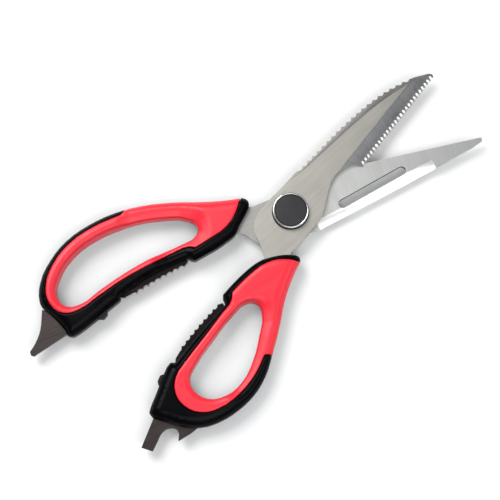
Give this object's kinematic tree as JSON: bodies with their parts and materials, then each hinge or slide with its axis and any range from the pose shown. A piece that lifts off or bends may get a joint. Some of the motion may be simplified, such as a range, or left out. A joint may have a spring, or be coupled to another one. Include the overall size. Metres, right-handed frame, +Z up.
{
  "type": "poultry shears",
  "caption": "Take-apart poultry shears lying open, with fish scaler, peeler slot, nutcracker jaws, bottle opener and lid lifter on soft-grip handles.",
  "frame": {"origin": "middle of the footprint, on the surface the shears lie on", "axes": "+Y along the line halfway between the two open blades, towards their tips; +X to the right seen from above, the side of the half with the opener; +Z up, square to the blades"},
  "size_m": [0.1194, 0.2527, 0.013],
  "materials": {
    "blade_steel": "brushed satin",
    "dark_steel": "blackened satin",
    "chrome": "polished",
    "black_plastic": "semi-gloss moulded",
    "red_rubber": "soft matt overmould",
    "black_insert": "fine matt",
    "bumper_rubber": "matt",
    "pin_steel": "turned"
  },
  "bodies": {
    "front_half": {"front_blade": "blade_steel", "pivot_stud": "pin_steel", "seat_washer": "chrome", "pivot_cap": "chrome", "cap_insert": "black_insert", "front_handle_frame": "black_plastic", "front_grip": "red_rubber", "opener_plate": "dark_steel", "front_bumper": "bumper_rubber", "front_tang_pin_1": "pin_steel", "front_tang_pin_2": "pin_steel", "opener_plate_pin_1": "pin_steel", "opener_plate_pin_2": "pin_steel"},
    "rear_half": {"rear_blade": "blade_steel", "rear_handle_frame": "black_plastic", "rear_grip": "red_rubber", "lifter_plate": "dark_steel", "rear_bumper": "bumper_rubber", "rear_tang_pin_1": "pin_steel", "rear_tang_pin_2": "pin_steel", "lifter_plate_pin_1": "pin_steel", "lifter_plate_pin_2": "pin_steel"}
  },
  "joints": [
    {"name": "pivot", "type": "hinge", "parent": "front_half", "child": "rear_half", "pos_m": [-0.0118, 0.022, 0.0065], "axis": [0, 0, 1], "range_deg": [-67, 22]}
  ]
}
